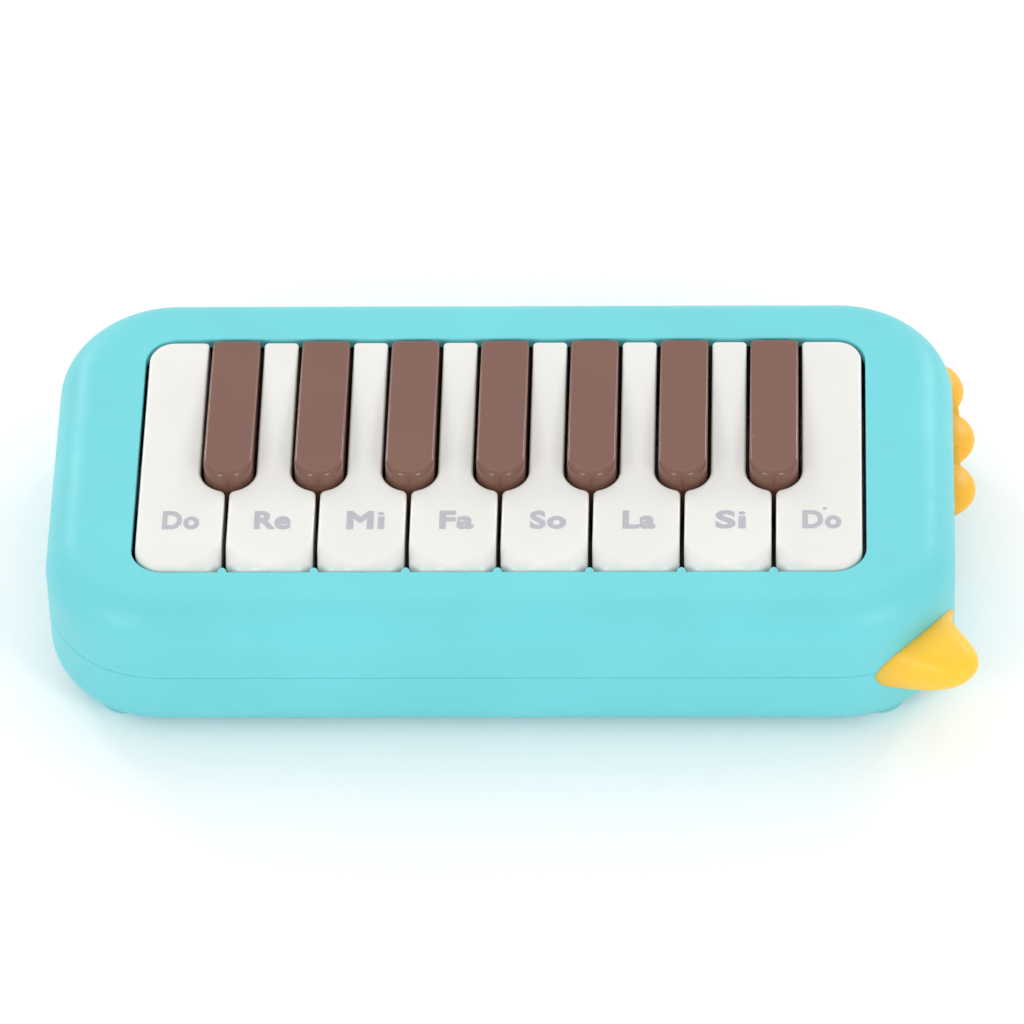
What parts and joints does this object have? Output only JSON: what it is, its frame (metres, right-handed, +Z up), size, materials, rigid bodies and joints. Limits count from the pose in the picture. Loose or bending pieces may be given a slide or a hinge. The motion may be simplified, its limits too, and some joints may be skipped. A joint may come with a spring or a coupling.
{
  "type": "toy melodica",
  "caption": "Toy melodica: rounded two-part case, hinged white and brown keys with return springs and valve pads, reed chamber, blow socket, crest and beak",
  "frame": {"origin": "on the floor under the middle of the bounding box", "axes": "+X along the keyboard from the blow socket to the beak end, +Y to the back, +Z up"},
  "size_m": [0.2046, 0.1064, 0.0418],
  "materials": {
    "case": "satin turquoise ABS",
    "white_key": "glossy warm white ABS",
    "brown_key": "glossy brown ABS",
    "crest": "satin orange-yellow",
    "beak": "satin yellow",
    "steel": "plain steel wire and screws",
    "brass": "rolled brass",
    "pad": "soft black rubber",
    "felt": "pressed red felt",
    "inner": "unpainted grey plastic"
  },
  "bodies": {
    "case": {"upper_shell": "case", "lower_shell": "case", "crest": "crest", "beak": "beak", "case_screw_1": "steel", "case_screw_2": "steel", "case_screw_3": "steel", "case_screw_4": "steel", "hinge_rod": "steel", "hinge_rail": "inner", "wind_tray": "inner", "reed_plate": "brass", "reed_block": "inner", "blow_socket": "inner", "stop_felt": "felt", "key_spring_1": "steel", "key_spring_2": "steel", "key_spring_3": "steel", "key_spring_4": "steel", "key_spring_5": "steel", "key_spring_6": "steel", "key_spring_7": "steel", "key_spring_8": "steel", "key_spring_9": "steel", "key_spring_10": "steel", "key_spring_11": "steel", "key_spring_12": "steel", "key_spring_13": "steel", "key_spring_14": "steel", "key_spring_15": "steel"},
    "white_1": {"white_key_1": "white_key", "valve_pad_1": "pad"},
    "brown_1": {"brown_key_1": "brown_key", "valve_pad_2": "pad"},
    "white_2": {"white_key_2": "white_key", "valve_pad_3": "pad"},
    "brown_2": {"brown_key_2": "brown_key", "valve_pad_4": "pad"},
    "white_3": {"white_key_3": "white_key", "valve_pad_5": "pad"},
    "brown_3": {"brown_key_3": "brown_key", "valve_pad_6": "pad"},
    "white_4": {"white_key_4": "white_key", "valve_pad_7": "pad"},
    "brown_4": {"brown_key_4": "brown_key", "valve_pad_8": "pad"},
    "white_5": {"white_key_5": "white_key", "valve_pad_9": "pad"},
    "brown_5": {"brown_key_5": "brown_key", "valve_pad_10": "pad"},
    "white_6": {"white_key_6": "white_key", "valve_pad_11": "pad"},
    "brown_6": {"brown_key_6": "brown_key", "valve_pad_12": "pad"},
    "white_7": {"white_key_7": "white_key", "valve_pad_13": "pad"},
    "brown_7": {"brown_key_7": "brown_key", "valve_pad_14": "pad"},
    "white_8": {"white_key_8": "white_key", "valve_pad_15": "pad"}
  },
  "joints": [
    {"name": "white_1_press", "type": "hinge", "parent": "case", "child": "white_1", "pos_m": [-0.07262, 0.04378, 0.0305], "axis": [1, 0, 0], "range_deg": [0, 3], "stiffness_Nm_per_rad": 0.2, "springref_deg": -6.88, "deforming": ["key_spring_1"]},
    {"name": "brown_1_press", "type": "hinge", "parent": "case", "child": "brown_1", "pos_m": [-0.06262, 0.04378, 0.0305], "axis": [1, 0, 0], "range_deg": [0, 3.5], "stiffness_Nm_per_rad": 0.2, "springref_deg": -6.88, "deforming": ["key_spring_2"]},
    {"name": "white_2_press", "type": "hinge", "parent": "case", "child": "white_2", "pos_m": [-0.05262, 0.04378, 0.0305], "axis": [1, 0, 0], "range_deg": [0, 3], "stiffness_Nm_per_rad": 0.2, "springref_deg": -6.88, "deforming": ["key_spring_3"]},
    {"name": "brown_2_press", "type": "hinge", "parent": "case", "child": "brown_2", "pos_m": [-0.04262, 0.04378, 0.0305], "axis": [1, 0, 0], "range_deg": [0, 3.5], "stiffness_Nm_per_rad": 0.2, "springref_deg": -6.88, "deforming": ["key_spring_4"]},
    {"name": "white_3_press", "type": "hinge", "parent": "case", "child": "white_3", "pos_m": [-0.03262, 0.04378, 0.0305], "axis": [1, 0, 0], "range_deg": [0, 3], "stiffness_Nm_per_rad": 0.2, "springref_deg": -6.88, "deforming": ["key_spring_5"]},
    {"name": "brown_3_press", "type": "hinge", "parent": "case", "child": "brown_3", "pos_m": [-0.02262, 0.04378, 0.0305], "axis": [1, 0, 0], "range_deg": [0, 3.5], "stiffness_Nm_per_rad": 0.2, "springref_deg": -6.88, "deforming": ["key_spring_6"]},
    {"name": "white_4_press", "type": "hinge", "parent": "case", "child": "white_4", "pos_m": [-0.01262, 0.04378, 0.0305], "axis": [1, 0, 0], "range_deg": [0, 3], "stiffness_Nm_per_rad": 0.2, "springref_deg": -6.88, "deforming": ["key_spring_7"]},
    {"name": "brown_4_press", "type": "hinge", "parent": "case", "child": "brown_4", "pos_m": [-0.00262, 0.04378, 0.0305], "axis": [1, 0, 0], "range_deg": [0, 3.5], "stiffness_Nm_per_rad": 0.2, "springref_deg": -6.88, "deforming": ["key_spring_8"]},
    {"name": "white_5_press", "type": "hinge", "parent": "case", "child": "white_5", "pos_m": [0.00738, 0.04378, 0.0305], "axis": [1, 0, 0], "range_deg": [0, 3], "stiffness_Nm_per_rad": 0.2, "springref_deg": -6.88, "deforming": ["key_spring_9"]},
    {"name": "brown_5_press", "type": "hinge", "parent": "case", "child": "brown_5", "pos_m": [0.01738, 0.04378, 0.0305], "axis": [1, 0, 0], "range_deg": [0, 3.5], "stiffness_Nm_per_rad": 0.2, "springref_deg": -6.88, "deforming": ["key_spring_10"]},
    {"name": "white_6_press", "type": "hinge", "parent": "case", "child": "white_6", "pos_m": [0.02738, 0.04378, 0.0305], "axis": [1, 0, 0], "range_deg": [0, 3], "stiffness_Nm_per_rad": 0.2, "springref_deg": -6.88, "deforming": ["key_spring_11"]},
    {"name": "brown_6_press", "type": "hinge", "parent": "case", "child": "brown_6", "pos_m": [0.03738, 0.04378, 0.0305], "axis": [1, 0, 0], "range_deg": [0, 3.5], "stiffness_Nm_per_rad": 0.2, "springref_deg": -6.88, "deforming": ["key_spring_12"]},
    {"name": "white_7_press", "type": "hinge", "parent": "case", "child": "white_7", "pos_m": [0.04738, 0.04378, 0.0305], "axis": [1, 0, 0], "range_deg": [0, 3], "stiffness_Nm_per_rad": 0.2, "springref_deg": -6.88, "deforming": ["key_spring_13"]},
    {"name": "brown_7_press", "type": "hinge", "parent": "case", "child": "brown_7", "pos_m": [0.05738, 0.04378, 0.0305], "axis": [1, 0, 0], "range_deg": [0, 3.5], "stiffness_Nm_per_rad": 0.2, "springref_deg": -6.88, "deforming": ["key_spring_14"]},
    {"name": "white_8_press", "type": "hinge", "parent": "case", "child": "white_8", "pos_m": [0.06738, 0.04378, 0.0305], "axis": [1, 0, 0], "range_deg": [0, 3], "stiffness_Nm_per_rad": 0.2, "springref_deg": -6.88, "deforming": ["key_spring_15"]}
  ]
}
